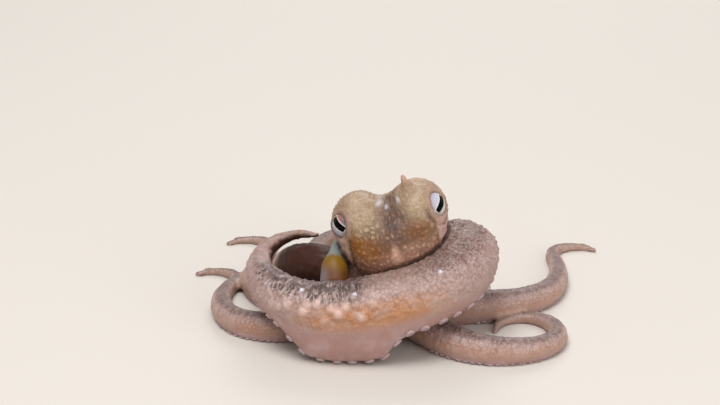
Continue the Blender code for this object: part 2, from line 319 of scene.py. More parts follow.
def neighbour_mean(values, edges):
    """Each vertex's neighbours, averaged."""
    count = np.bincount(edges.ravel(), minlength=len(values)).astype(float)[:, None]
    total = np.zeros_like(values)
    np.add.at(total, edges[:, 0], values[edges[:, 1]])
    np.add.at(total, edges[:, 1], values[edges[:, 0]])
    return total / count


def relaxed(points, edges, rounds):
    """Smooths away steps and facets; each second pass swells the form back out."""
    for turn in range(rounds * 2):
        factor = 0.55 if turn % 2 == 0 else -0.57
        points = points + (neighbour_mean(points, edges) - points) * factor
    return points


def refine(mesh, chosen):
    """Halves the edges whose two ends are chosen."""
    bm = bmesh.new()
    bm.from_mesh(mesh)
    bm.verts.ensure_lookup_table()
    edges = [edge for edge in bm.edges if all(chosen[vert.index] for vert in edge.verts)]
    bmesh.ops.subdivide_edges(bm, edges=edges, cuts=1, use_grid_fill=True)
    bm.to_mesh(mesh)
    bm.free()


points = relaxed(vertex_array(skin_mesh), edge_array(skin_mesh), SMOOTHING_ROUNDS)
skin_mesh.vertices.foreach_set("co", points.ravel())

# The face and the folded arm get a finer mesh, and the eyes' surroundings a finer one yet.
in_face = in_head(points)
near_head = (np.abs(in_face[:, 0]) < 10.5) & (in_face[:, 1] < 2.5) & (in_face[:, 2] > -9.5)
front_arm = (points[:, 1] < -3.0 * MM) & (points[:, 0] < 16.0 * MM) & (points[:, 0] > -23.0 * MM)
front_arm &= points[:, 2] > 0.6 * MM
left_rise = (points[:, 0] > 7.0 * MM) & (points[:, 1] < 3.0 * MM) & (points[:, 2] > 7.0 * MM)
refine(skin_mesh, near_head | front_arm | left_rise)
points = vertex_array(skin_mesh)
from_eye = np.minimum(np.linalg.norm(points - np.array(eye_middle[1]), axis=1),
                      np.linalg.norm(points - np.array(eye_middle[-1]), axis=1))
from_horn = np.linalg.norm(in_head(points) - np.array(HORN), axis=1)
refine(skin_mesh, (from_eye < FINE_BY_EYE) | (from_horn < FINE_BY_HORN))
edges = edge_array(skin_mesh)
points = relaxed(vertex_array(skin_mesh), edges, LAST_ROUNDS)

# Where each point of the skin lies on its arm: share 0 at the root to 1 at the tip, and
# around 0 on the back of the arm to 1 under it.
line_points = []
for name, (line, radii, drops) in arm_lines.items():
    last = len(line) - 1
    for i, centre in enumerate(line):
        _, across, upward = arm_frame(line, i)
        line_points.append((centre, across, upward, radii[i], drops[i], i / last,
                            last * LINE_STEP / MM, 1.0 if name == "arm_left_2" else 0.0))
columns = [np.array(column) for column in zip(*line_points)]
line_places, line_sizes = columns[0], columns[3]
nearest = np.zeros(len(points), dtype=np.int64)
AT_ONCE = 3000                      # points compared together, to spare memory
for first in range(0, len(points), AT_ONCE):
    some = slice(first, first + AT_ONCE)
    gaps = points[some, None, :] - line_places[None, :, :]
    nearest[some] = np.argmin(np.linalg.norm(gaps, axis=2) - line_sizes, axis=1)
centres, acrosses, upwards, line_radii, line_drops, along, lengths_mm, folded = (
    column[nearest] for column in columns)
offset = points - centres
side_way = np.einsum("ij,ij->i", offset, acrosses)
up_way = np.einsum("ij,ij->i", offset, upwards)
depth = np.where(up_way < 0.0, line_drops, line_radii)
reach = np.hypot(side_way / line_radii, up_way / depth)
around = np.arctan2(np.abs(side_way), up_way) / math.pi
in_face = in_head(points)
on_head = ease(-10.5, -8.0, in_face[:, 2]) * (1.0 - ease(9.0, 11.0, np.abs(in_face[:, 0])))
on_head *= 1.0 - ease(7.0, 9.0, in_face[:, 1])
along_mm = along * lengths_mm
around_mm = around * math.pi * line_radii / MM
on_arm = (1.0 - ease(1.15, 1.6, reach)) * ease(0.02, 0.10, along)
on_arm *= 1.0 - on_head * ease(1.02, 1.15, reach)


def set_mask(name, values):
    attribute = skin_mesh.attributes.new(name, "FLOAT", "POINT")
    attribute.data.foreach_set("value", np.clip(values, 0.0, 1.0).astype(np.float32))


def surface_normals():
    skin_mesh.vertices.foreach_set("co", points.ravel())
    skin_mesh.update()
    flat = np.empty(len(points) * 3)
    skin_mesh.vertex_normals.foreach_get("vector", flat)
    return flat.reshape(-1, 3)


def bumps(cell, places):
    """Rounded grains about a cell apart: 1 on a grain's top and 0 between grains."""
    nearest_grain = [noise.voronoi(Vector(place) / cell)[0][0] for place in places]
    return 1.0 - ease(0.08, 0.62, np.array(nearest_grain))


def swell(scale, places):
    """A slow, smooth variation between 0 and 1."""
    return np.array([noise.noise(Vector(place) / scale) for place in places]) * 0.5 + 0.5


# Eyelids: the skin lies on the eyeball and opens in an oval, with a soft raised rim.
LID_THICKNESS = 0.16 * MM
OPENING_WIDE = math.radians(43.0)   # half the opening, seen from the eye's middle
OPENING_HIGH = math.radians(52.0)
RIM_RISE = 0.12                     # millimetres
GROOVE_DEPTH = 0.20
lid_rim = np.zeros(len(points))
lid_groove = np.zeros(len(points))
eye_hollow = np.zeros(len(points))
eye_oval = np.full(len(points), 9.0)
lilac = np.zeros(len(points))
for side in (1, -1):
    look, aside, above = eye_axes(side)
    from_middle = points - np.array(eye_middle[side])
    distance = np.linalg.norm(from_middle, axis=1)
    way = from_middle / distance[:, None]
    wide = np.arcsin(np.clip(way @ np.array(aside), -1.0, 1.0)) / OPENING_WIDE
    high = np.arcsin(np.clip(way @ np.array(above), -1.0, 1.0)) / OPENING_HIGH
    facing = (way @ np.array(look) > 0.1) & (distance < 3.6 * MM)
    oval = np.hypot(wide * (1.0 + 0.30 * high ** 2), high)
    opened = facing * (1.0 - ease(0.86, 1.02, oval))
    rim = facing * np.exp(-((oval - 1.13) / 0.13) ** 2)
    groove = facing * np.exp(-((oval - 1.45) / 0.13) ** 2) * ease(-0.5, 0.3, -high)
    lid = EYE_RADIUS * MM + LID_THICKNESS
    wanted = np.where(facing, np.maximum(distance, lid), distance)
    wanted = wanted + (rim * RIM_RISE - groove * GROOVE_DEPTH) * MM
    sunk = (EYE_RADIUS - 0.45) * MM
    wanted = wanted * (1.0 - opened) + sunk * opened
    points = np.array(eye_middle[side]) + way * wanted[:, None]
    lid_rim = np.maximum(lid_rim, rim)
    lid_groove = np.maximum(lid_groove, groove)
    eye_hollow = np.maximum(eye_hollow, opened)
    eye_oval = np.where(facing, oval, eye_oval)
    if side < 0:
        lilac = facing * np.exp(-((wide - 1.3) / 0.45) ** 2 - ((high - 0.4) / 0.75) ** 2)
        lilac *= 1.0 - ease(2.9 * MM, 3.6 * MM, distance)

# The horn has two unequal points on a low, broad foot, and leans a little to the cleft.
HORN_POINTS = ((-0.15, 0.0, 0.95, 0.30), (0.50, 0.2, 0.50, 0.34), (0.2, 0.0, 0.3, 0.7))
HORN_LEAN = 0.05
in_face = in_head(points)
horn = np.zeros(len(points))
horn_way = np.array(head_z) - HORN_LEAN * np.array(head_x)
for x, y, high, wide in HORN_POINTS:
    from_point = np.hypot(in_face[:, 0] - HORN[0] - x, in_face[:, 1] - HORN[1] - y)
    raised = high * np.exp(-(from_point / wide) ** 2) * ease(3.0, 4.0, in_face[:, 2])
    horn = np.maximum(horn, ease(0.15, 0.5, raised))
    points = points + horn_way * (raised * MM)[:, None]

# The cleft between the eye mounds, and a fold down each cheek from the eye's inner corner.
in_face = in_head(points)
cleft = np.exp(-((in_face[:, 0] + 0.4) / 1.5) ** 2) * ease(0.5, 3.0, in_face[:, 2])
cleft *= ease(-9.0, -6.0, in_face[:, 1]) * (1.0 - ease(4.0, 8.0, in_face[:, 1]))
cheek_reach = ease(-8.0, -6.0, in_face[:, 2]) * (1.0 - ease(-1.2, 0.4, in_face[:, 2]))
cheek_reach *= (1.0 - ease(-1.0, 2.0, in_face[:, 1])) * (1.0 - eye_hollow)
cheek_fold = cheek_reach * np.exp(-((np.abs(in_face[:, 0]) - 6.75) / 0.26) ** 2)
normals = surface_normals()
CLEFT_DEPTH = 0.5                   # millimetres
cheek_depth = np.where(in_face[:, 0] < 0.0, 0.24, 0.10)
points = points - normals * ((CLEFT_DEPTH * cleft + cheek_depth * cheek_fold) * MM)[:, None]


def head_spot(x, z, wide, high, lean=0.0):
    """A soft spot on the face, its place and size in the head's own millimetres."""
    dx = in_face[:, 0] - x - lean * (in_face[:, 2] - z)
    dz = in_face[:, 2] - z
    front = 1.0 - ease(-1.0, 4.0, in_face[:, 1])
    return np.exp(-((dx / wide) ** 2 + (dz / high) ** 2)) * on_head * front * (1.0 - on_arm)


# Grain of the skin: sand-like granules on the arms' backs, larger pale tubercles on the
# folded arm, a softer grain on the head and mantle, and wider cells low on the face. The
# relief is in millimetres.
normals = surface_normals()
places = points / MM
back_of_arm = on_arm * (1.0 - ease(0.50, 0.66, around))
granules = bumps(0.55, places)      # each grain's size in millimetres
cells = bumps(0.80, places)
knobs = bumps(1.15, places)
tubercles = bumps(1.90, places)
turn_share = ease(0.42, 0.50, along) * (1.0 - ease(0.60, 0.70, along))
tubercle_zone = folded * on_arm * turn_share * ease(0.12, 0.22, around)
tubercle_zone *= 1.0 - ease(0.44, 0.56, around)
netted = np.clip(head_spot(0.6, 0.8, 2.4, 2.6) + 0.8 * head_spot(-3.4, 0.2, 2.2, 1.3), 0.0, 1.0)
large_grains = ease(1.5, -1.0, in_face[:, 2]) * on_head * (1.0 - on_arm)
large_grains = np.maximum(large_grains, netted)
lumps = swell(2.6, places)
fineness = np.clip(line_radii / (3.0 * MM), 0.25, 1.0)
relief = back_of_arm * fineness * (0.11 * granules + 0.10 * lumps + 0.12 * knobs)
relief += folded * back_of_arm * (0.06 * granules + 0.08 * knobs) + tubercle_zone * 0.55 * tubercles
relief += on_arm * ease(0.45, 0.60, around) * (1.0 - ease(0.72, 0.8, around)) * 0.05 * granules
off_arm = (1.0 - on_arm) * (1.0 - eye_hollow) * (1.0 - lid_rim * 0.8)
relief += off_arm * (0.15 * granules + 0.10 * (lumps - 0.5))
relief += large_grains * (1.0 - eye_hollow) * 0.05 * cells

# A few small white tubercles stand on the folded arm's outer side. By the cleft are painted
# highlights: small bluish-white glints on the face, each on a low bump.
WHITE_ON_ARM = ((0.315, 0.190), (0.490, 0.200), (0.610, 0.145))      # along and around it
GLINTS_ON_FACE = ((-1.0, 3.35, 0.45, 0.26), (2.0, 3.45, 0.30, 0.34), (0.0, 2.8, 0.22, 0.24))
WHITE_SIZE = 0.30 * MM
white_tubercles_and_glints = np.zeros(len(points))
for share, turned in WHITE_ON_ARM:
    misfit = np.hypot((along - share) * 60.0, (around - turned) * 12.0)
    misfit += 100.0 * ((folded < 0.5) | (side_way > 0.0))
    top = points[np.argmin(misfit)]
    from_top = np.linalg.norm(points - top, axis=1)
    white_tubercles_and_glints = np.maximum(white_tubercles_and_glints, np.exp(-(from_top / WHITE_SIZE) ** 4))
# painted highlights: bluish-white glints on the face by the cleft
for spot in GLINTS_ON_FACE:
    white_tubercles_and_glints = np.maximum(white_tubercles_and_glints, 0.6 * head_spot(*spot))
relief += 0.16 * white_tubercles_and_glints

# The mantle is a loose sac: low papillae and long folds on it, and a free edge at the neck
# that runs round its sides and underneath, over the gill opening.
on_mantle = (1.0 - on_arm) * ease(8.5, 10.5, points[:, 1] / MM)
papillae = np.array([noise.voronoi(Vector(place) / 3.1)[0][0] for place in places])
papillae = np.exp(-(papillae / 0.16) ** 2) * on_mantle
fold_places = places / np.array((2.2, 9.0, 2.2))
long_folds = np.array([noise.noise(Vector(place)) for place in fold_places])
relief += on_mantle * (0.30 * long_folds + 0.10 * granules) + 0.45 * papillae
neck = points[:, 1] / MM - 9.2 + 0.12 * (points[:, 2] / MM - 8.0)
sideways = (1.0 - on_arm) * (1.0 - ease(0.35, 0.75, normals[:, 2]))
sideways *= 1.0 - ease(10.5, 13.5, points[:, 2] / MM)
lip = 0.30 * np.exp(-((neck - 0.7) / 0.7) ** 2)
slot = 0.75 * np.exp(-(neck / 0.45) ** 2)
relief += sideways * (lip - slot)
gill_edge = sideways * np.exp(-((neck + 0.1) / 0.5) ** 2)


def surface_of(names):
    """A search tree over the faces of some solids."""
    solids = bmesh.new()
    for name in names:
        solids.from_mesh(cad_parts[name].data)
    tree = bvhtree.BVHTree.FromBMesh(solids)
    solids.free()
    return tree


# Head and mantle press on the arms there: the skin folds in to a crease, and painted shade darkens
# it.
body_tree = surface_of(["head", "mantle"])
arm_tree = surface_of([name for name in flesh if name.startswith("arm_")])
to_body = np.array([body_tree.find_nearest(place)[3] for place in points])
to_arms = np.array([arm_tree.find_nearest(place)[3] for place in points])
CREASE_WIDTH = 0.42 * MM
CREASE_DEPTH = 0.85
crease = np.exp(-((to_body - to_arms) / CREASE_WIDTH) ** 2) * ease(0.05, 0.12, along)
crease *= 1.0 - ease(1.2 * MM, 2.2 * MM, np.minimum(to_body, to_arms))
relief -= CREASE_DEPTH * crease
points = points + normals * (relief * MM)[:, None]
points[:, 2] = np.maximum(points[:, 2], 0.0)
normals = surface_normals()
skin_mesh.shade_smooth()

set_mask("around", around)
set_mask("on_arm", on_arm)
set_mask("granule", granules)
set_mask("tubercle", tubercles * tubercle_zone)
set_mask("lid", lid_rim * ease(0.98, 1.06, eye_oval))
# painted shade: the groove under each eye and a thin line where the lid meets the eyeball are
# darkened
set_mask("lid_line_shade", np.maximum(lid_groove, 0.35 * np.exp(-((eye_oval - 0.97) / 0.08) ** 2)))
set_mask("lilac", lilac * (1.0 - on_arm))
# white tubercles on the arm, and painted highlights on the face
set_mask("white_tubercles_and_glints", white_tubercles_and_glints)
# painted shade: the crease and the slot at the gill opening are darkened for the shade in them
set_mask("crease", np.maximum(crease, 0.7 * gill_edge))
set_mask("mantle", on_mantle)
set_mask("papilla", papillae)


def window(rise, full, fade, gone):
    """1 along an arm between full and fade, and 0 before rise and after gone."""
    return ease(rise, full, along) * (1.0 - ease(fade, gone, along))


# The folded arm is veined by the hollow, tan on its middle and dark where it rises; the
# other arms carry weaker veins all along.
upper_back = on_arm * (1.0 - ease(0.12, 0.40, around))
vein_strength = window(0.42, 0.54, 0.68, 0.80) + 0.25 * window(0.08, 0.16, 0.28, 0.40)
set_mask("veined", upper_back * np.where(folded > 0.5, vein_strength, 0.35))
tan_band = ease(0.26, 0.38, around) * (1.0 - ease(0.54, 0.66, around))
set_mask("tan", on_arm * tan_band * np.where(folded > 0.5, window(0.28, 0.40, 0.54, 0.64), 0.4))
set_mask("dusky", upper_back * np.where(folded > 0.5, window(0.06, 0.14, 0.30, 0.42), 0.0))
signed_mm = around_mm * np.sign(side_way)
veins_run = np.column_stack([along_mm / 0.40, signed_mm / 2.2, folded * 7.0]).astype(np.float32)
skin_mesh.attributes.new("veins_run", "FLOAT_VECTOR", "POINT").data.foreach_set(
    "vector", veins_run.ravel())

# Painted shade: inside the fold, around the siphon, the flesh is coloured a deep brown that stands
# for the shade falling in the hollow.
HOLLOW = np.array((-12.5, 2.5, 7.5)) * MM
to_hollow = HOLLOW - points
facing_in = np.einsum("ij,ij->i", normals, to_hollow) / np.linalg.norm(to_hollow, axis=1)
hollow_shade = 1.0 - ease(7.5 * MM, 11.5 * MM, np.linalg.norm(to_hollow, axis=1))
hollow_shade *= np.where(folded > 0.5, ease(0.16, 0.26, around) * ease(0.0, 0.4, facing_in), 1.0)
set_mask("hollow_shade", hollow_shade * (1.0 - on_head * (1.0 - on_arm)))

# Soft spots of colour on the face. Each has its strength, its place to the left and up, its
# width and height and, where it leans, how much, in the head's own millimetres.
FACE_SPOTS = {
    "streak": ((1.0, 0.5, 3.6, 1.2, 1.6, -0.2), (0.8, 0.5, 1.2, 1.2, 1.8, -0.2)),
    "dusk": ((1.3, 1.4, -0.2, 2.4, 2.0), (1.0, -0.8, -2.4, 1.8, 1.3), (0.7, 0.4, 1.5, 2.2, 2.2),
             (0.6, 4.0, -1.4, 2.4, 1.3)),
    "warm": ((1.3, -4.2, -2.1, 2.7, 1.8), (0.95, 4.3, -1.3, 2.5, 1.4),
             (0.5, -6.0, -0.6, 1.0, 1.6)),
    "pale": ((1.0, -3.7, 1.4, 2.0, 2.6), (1.0, 3.9, 2.0, 1.8, 2.0)),
}
for name, spots in FACE_SPOTS.items():
    set_mask(name, sum(weight * head_spot(*spot) for weight, *spot in spots))
set_mask("netted", netted)
set_mask("rose", on_head * ease(1.8, 4.0, -in_face[:, 2]) * (1.0 - on_arm))
set_mask("wedge", head_spot(0.1, -3.4, 0.55 + 0.16 * np.clip(-2.0 - in_face[:, 2], -2.0, 2.5), 1.7))
set_mask("cheek", cheek_reach * ease(6.8, 7.3, np.abs(in_face[:, 0])) * (1.0 - on_arm))
# painted shade: the fold down each cheek is darkened, more on the animal's right side
set_mask("cheek_fold", cheek_fold * (1.0 - on_arm) * np.where(in_face[:, 0] < 0.0, 1.0, 0.25))
set_mask("large_grains", large_grains)
set_mask("horn", horn)

# Fine dark threads run down from the cleft, so their pattern is stretched that way.
threads_run = in_face * np.array((4.0, 1.0, 0.7)) - in_face[:, 2:3] * np.array((1.2, 0.0, 0.0))
skin_mesh.attributes.new("threads_run", "FLOAT_VECTOR", "POINT").data.foreach_set(
    "vector", threads_run.astype(np.float32).ravel())


# Octopus skin is a clear wet film over cells of pigment: pale grains with a dark net
# between them, branching dark veins on the arms' backs, tan flanks and lavender undersides.
def per_metre(size_mm):
    """The scale that makes one cell of a pattern this many millimetres."""
    return 1.0 / (size_mm * MM)


def flesh_material(name):
    """A new material, its node tree, its surface shader and each point's place on the piece."""
    made = bpy.data.materials.new(name)
    made.use_nodes = True
    place = add_node(made.node_tree, "ShaderNodeTexCoord").outputs["Object"]
    return made, made.node_tree, made.node_tree.nodes["Principled BSDF"], place


def strength(tree, *terms):
    """Terms added up, each a list of factors multiplied. A factor is a number, an output or
    an attribute's name. In a tuple it is read on a smooth scale: it is followed by where the
    scale begins and ends and, unless these are 0 and 1, by what it gives there."""
    total = None
    for factors in terms:
        product = None
        for factor in factors:
            value, *scale = factor if isinstance(factor, tuple) else (factor,)
            if isinstance(value, str):
                value = add_node(tree, "ShaderNodeAttribute", attribute_name=value).outputs["Fac"]
            if scale:
                begin, end, at_begin, at_end = (*scale, 0.0, 1.0)[:4]
                value = add_node(tree, "ShaderNodeMapRange",
                                 {"Value": value, "From Min": begin, "From Max": end,
                                  "To Min": at_begin, "To Max": at_end},
                                 interpolation_type="SMOOTHSTEP").outputs[0]
            if product is not None:
                value = add_node(tree, "ShaderNodeMath", {0: product, 1: value},
                                 operation="MULTIPLY").outputs[0]
            product = value
        if total is not None:
            product = add_node(tree, "ShaderNodeMath", {0: total, 1: product},
                               operation="ADD").outputs[0]
        total = product
    return total


def painted(tree, ground, layers):
    """Colours laid over a ground; each layer is a colour and the factors of its strength."""
    for colour, *factors in layers:
        ground = add_node(tree, "ShaderNodeMix",
                          {0: strength(tree, factors), 6: ground, 7: colour},
                          data_type="RGBA").outputs[2]
    return ground


skin_material, tree, skin_shader, place = flesh_material("moist_octopus_skin")

# A small shift of place bends the cells' straight walls, so the net looks grown.
wander = add_node(tree, "ShaderNodeTexNoise", {"Vector": place, "Scale": per_metre(1.1),
                                               "Detail": 2.0}).outputs["Color"]
bent = add_node(tree, "ShaderNodeVectorMath", {0: wander, 1: (0.5, 0.5, 0.5)},
                operation="SUBTRACT").outputs[0]
bent = add_node(tree, "ShaderNodeVectorMath", {0: bent, 3: 0.9 * MM}, operation="SCALE").outputs[0]
bent = add_node(tree, "ShaderNodeVectorMath", {0: place, 1: bent}, operation="ADD").outputs[0]
# Squashed from front to back, the cells open out whole over the face.
face_place = add_node(tree, "ShaderNodeMix", {0: 0.5, 4: place, 5: bent},
                      data_type="VECTOR").outputs[1]
face_place = add_node(tree, "ShaderNodeVectorMath", {0: face_place, 1: (1.0, 0.3, 1.0)},
                      operation="MULTIPLY").outputs[0]

# Soft clouds that break the colours up, by the size of a patch in millimetres.
clouds = []
for size_mm, detail in ((5.0, 3.0), (1.7, 3.0), (0.42, 3.0), (2.6, 2.0), (4.5, 4.0), (3.1, 2.0),
                        (2.4, 2.0), (1.2, 2.0)):
    clouds.append(add_node(tree, "ShaderNodeTexNoise",
                           {"Vector": place, "Scale": per_metre(size_mm), "Detail": detail,
                            "Roughness": 0.55}).outputs["Fac"])
broad, patchy, speckle, net_cloud, blotches, mantle_cloud, vein_cloud, gloss_cloud = clouds

# Nets of cell walls, by the size of a cell: each value is 0 in the middle of a wall.
walls = []
for size_mm, where in ((0.44, bent), (0.78, face_place), (0.70, bent), (1.3, bent)):
    walls.append(add_node(tree, "ShaderNodeTexVoronoi",
                          {"Vector": where, "Scale": per_metre(size_mm)},
                          feature="DISTANCE_TO_EDGE").outputs["Distance"])
fine_wall, face_wall, grain_wall, mantle_wall = walls
net = strength(tree, [(fine_wall, 0.02, 0.24, 1.0, 0.0), ("large_grains", 0.1, 0.9, 0.7, 0.0)],
               [(face_wall, 0.04, 0.34, 1.0, 0.0), "large_grains"])
net_depth = strength(tree, [(net_cloud, 0.3, 0.7, 0.20, 0.45)], ["netted", 0.45])
thread_place = add_node(tree, "ShaderNodeAttribute", attribute_name="threads_run").outputs["Vector"]
threads = add_node(tree, "ShaderNodeTexNoise", {"Vector": thread_place, "Scale": 1.0,
                                                "Detail": 1.0}).outputs["Fac"]

# Head, mantle and web are beige grains in a brown net, with darker and warmer patches. The
# mantle has dark blotches, a branching net and pale papillae over that.
head_colour = painted(tree, "#aa8e74", (
    ("#987c62", (broad, 0.35, 0.65)),
    ("#bda992", (patchy, 0.45, 0.72, 0.0, 0.6)),
    ("#b8a384", "pale", (patchy, 0.3, 0.6, 0.5, 0.9)),
    ("#694638", "dusk", 0.78),
    ("#a67764", "rose", 0.85),
    ("#945a15", "warm", (patchy, 0.25, 0.6, 0.55, 1.0)),
    ("#5c3620", "warm", "dusk", 0.75),
    ("#d3aea2", "cheek", 0.9),
    # painted shade in the cheek folds
    ("#5d4036", "cheek_fold", 0.6),
    ("#c69c86", ("wedge", 0.05, 0.95), 0.9),
    ("#cdb493", (face_wall, 0.2, 0.5), "large_grains", 0.30),
    ("#46302a", net, net_depth, ("wedge", 0.1, 0.9, 1.0, 0.5), ("cheek", 0.0, 0.8, 1.0, 0.25)),
    ("#6c554e", "streak", 0.35),
    ("#3c2824", (threads, 0.48, 0.60), ("streak", 0.15, 0.6), 0.55),
    ("#d6aa9b", "horn", 0.55),
    ("#64432f", "mantle", (blotches, 0.46, 0.62), 0.75),
    ("#4a3022", "mantle", (mantle_wall, 0.01, 0.13, 1.0, 0.0),
     (mantle_cloud, 0.40, 0.65, 0.0, 0.34)),
    ("#d6c3a8", "papilla", 0.7)))

# The arms go from a brown back with veins, over paler flanks, to a lavender underside.
ragged = strength(tree, ["around"], [(patchy, 0.2, 0.8, -0.06, 0.06)])
vein_place = add_node(tree, "ShaderNodeAttribute", attribute_name="veins_run").outputs["Vector"]
vein_bend = add_node(tree, "ShaderNodeVectorMath", {0: wander, 1: (1.5, 0.9, 1.5)},
                     operation="MULTIPLY").outputs[0]
vein_place = add_node(tree, "ShaderNodeVectorMath", {0: vein_place, 1: vein_bend},
                      operation="ADD").outputs[0]
vein_wall = add_node(tree, "ShaderNodeTexVoronoi", {"Vector": vein_place, "Scale": 1.0},
                     feature="DISTANCE_TO_EDGE").outputs["Distance"]
veined = ("veined", 0.05, 0.6)
arm_colour = painted(tree, "#8b7166", (
    ("#af958e", ("around", 0.06, 0.26)),
    ("#9c786f", (broad, 0.45, 0.75, 0.0, 0.6)),
    ("#b98258", "tan", (patchy, 0.25, 0.65, 0.35, 1.0)),
    ("#ab857d", (ragged, 0.50, 0.70)),
    ("#bd9f9e", (ragged, 0.55, 0.7), (broad, 0.4, 0.7)),
    ("#6b4a3f", (grain_wall, 0.01, 0.17, 1.0, 0.0), ("around", 0.62, 0.34),
     (patchy, 0.25, 0.70, 0.15, 0.55)),
    ("#cdbfc4", "granule", ("around", 0.56, 0.36), 0.20),
    ("#d9bab0", "tubercle", 0.85),
    ("#523a31", "dusky", (speckle, 0.46, 0.62), 0.75),
    ("#57403f", veined, ("around", 0.28, 0.08), 0.6),
    ("#d0c4ca", veined, (vein_wall, 0.15, 0.4), 0.30),
    ("#2a1f1f", (vein_wall, 0.02, 0.17, 1.0, 0.0), (vein_cloud, 0.28, 0.50), veined, 0.78)))
skin_colour = painted(tree, head_colour, (
    (arm_colour, "on_arm"),
    # painted shade: deep brown over the flesh in the hollow inside the fold
    ("#3d1504", "hollow_shade", 0.97),
    ("#7b5e6c", "lilac", 0.85),
    ("#a8877a", "lid", 0.5),
    # painted shade in the lid groove and along the lid's edge
    ("#5f4543", "lid_line_shade", 0.75),
    # painted shade in the creases and the gill slot
    ("#2e1a12", "crease", 0.85),
    # white tubercles on the folded arm, and painted highlights by the cleft
    ("#dfdde8", "white_tubercles_and_glints", 0.9)))

# The wet film shines unevenly, and less on the netted face, in the crease and the hollow.
gloss = strength(tree, [(gloss_cloud, 0.3, 0.7, 0.46, 0.64)], ["netted", 0.22],
                 ["crease", 0.4], ["hollow_shade", 0.2])
# Real pores are finer; these are as coarse as they need to be to show.
pores = add_node(tree, "ShaderNodeTexVoronoi", {"Vector": place, "Scale": per_metre(0.34)},
                 feature="F1").outputs["Distance"]
bump = add_node(tree, "ShaderNodeBump",
                {"Strength": 0.55, "Distance": 0.07 * MM,
                 "Height": strength(tree, [pores, -0.7], [patchy])}).outputs[0]
set_inputs(skin_shader, {"Base Color": skin_colour, "Roughness": gloss, "Normal": bump,
                         "IOR": 1.38, "Coat Weight": 0.12, "Coat Roughness": 0.22,
                         "Subsurface Weight": 0.14, "Subsurface Radius": (1.0, 0.45, 0.3),
                         "Subsurface Scale": 0.9 * MM})
skin_mesh.materials.append(skin_material)
skin = placed("skin", skin_mesh)
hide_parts(*flesh)
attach(skin, "root")


# Suckers: two rows of small muscular cups under every arm, paler and bluer than the skin,
# each a raised rim round a shallow hollow. They are seated on the skin's own surface.
SUCKER_SHARE = 0.17                 # a sucker's radius, as a share of its arm's
SUCKER_SIDES = 10
SUCKER_SPACING = 2.6                # from one to the next in a row, in radii
SUCKERS_BEGIN = 0.16                # share of the arm's length, clear of the web
SUCKERS_AROUND = 0.755              # round the arm, from its back at 0 to its underside at 1
SUCKERS_TURN = 0.12                 # further under where the skirt stands
CLEAR_OF_BODY = 1.2 * MM            # no suckers where the arm presses on head or mantle
SUCKER_PROFILE = ((0.0, -0.3), (1.0, -0.3), (1.05, 0.25), (0.86, 0.46), (0.56, 0.30),
                  (0.26, 0.02), (0.0, 0.02))      # out from the middle and up, in radii
bm = bmesh.new()
bm.from_mesh(skin_mesh)
skin_tree = bvhtree.BVHTree.FromBMesh(bm)
bm.free()
bm = bmesh.new()
profile = [bm.verts.new((share, 0.0, height)) for share, height in SUCKER_PROFILE]
for lower, upper in zip(profile, profile[1:]):
    bm.edges.new((lower, upper))
bmesh.ops.spin(bm, geom=bm.verts[:] + bm.edges[:], cent=(0.0, 0.0, 0.0), axis=(0.0, 0.0, 1.0),
               angle=2.0 * math.pi, steps=SUCKER_SIDES, use_merge=True)
bmesh.ops.remove_doubles(bm, verts=bm.verts[:], dist=0.001)
bmesh.ops.recalc_face_normals(bm, faces=bm.faces[:])
cup_rim = [min(1.0, max(0.0, vert.co.xy.length * 1.6 - 0.45)) for vert in bm.verts]
cup_mesh = mesh_of("sucker_cup", bm)
bm = bmesh.new()


def add_sucker(middle, outward, ahead, radius):
    ahead = (ahead - outward * ahead.dot(outward)).normalized()
    turned = Matrix((ahead, outward.cross(ahead), outward)).transposed().to_4x4()
    cup = cup_mesh.copy()
    cup.transform(Matrix.Translation(middle) @ turned @ Matrix.Scale(radius, 4))
    bm.from_mesh(cup)
    bpy.data.meshes.remove(cup)


for name in sorted(arm_lines):
    line, radii, drops = arm_lines[name]
    for row in (-1, 1):
        walked = radii[0] * SUCKER_SHARE * (0.0 if row < 0 else SUCKER_SPACING / 2.0)
        for i in range(round(len(line) * SUCKERS_BEGIN), len(line) - 2):
            walked -= LINE_STEP
            if walked > 0.0:
                continue
            radius = radii[i] * SUCKER_SHARE
            walked += radius * SUCKER_SPACING
            ahead, across, upward = arm_frame(line, i)
            stands = (drops[i] - radii[i]) / FRONT_SKIRT
            angle = math.pi * (SUCKERS_AROUND + SUCKERS_TURN * stands)
            way = across * row * math.sin(angle) + upward * math.cos(angle) * drops[i] / radii[i]
            way.normalize()
            seat, outward, _, far = skin_tree.ray_cast(line[i], way)
            if seat is None or far > drops[i] * 1.15 + 0.3 * MM:
                continue
            if body_tree.find_nearest(seat)[3] < CLEAR_OF_BODY:
                continue
            if outward.dot(way) < 0.0:
                outward = -outward
            add_sucker(seat, outward, ahead, radius)
for vert in bm.verts:
    vert.co.z = max(vert.co.z, 0.01 * MM)       # those underneath are pressed flat
sucker_mesh = mesh_of("suckers", bm)
sucker_mesh.shade_smooth()
cup_rims = np.tile(cup_rim, len(sucker_mesh.vertices) // len(cup_rim)).astype(np.float32)
sucker_mesh.attributes.new("rim", "FLOAT", "POINT").data.foreach_set("value", cup_rims)

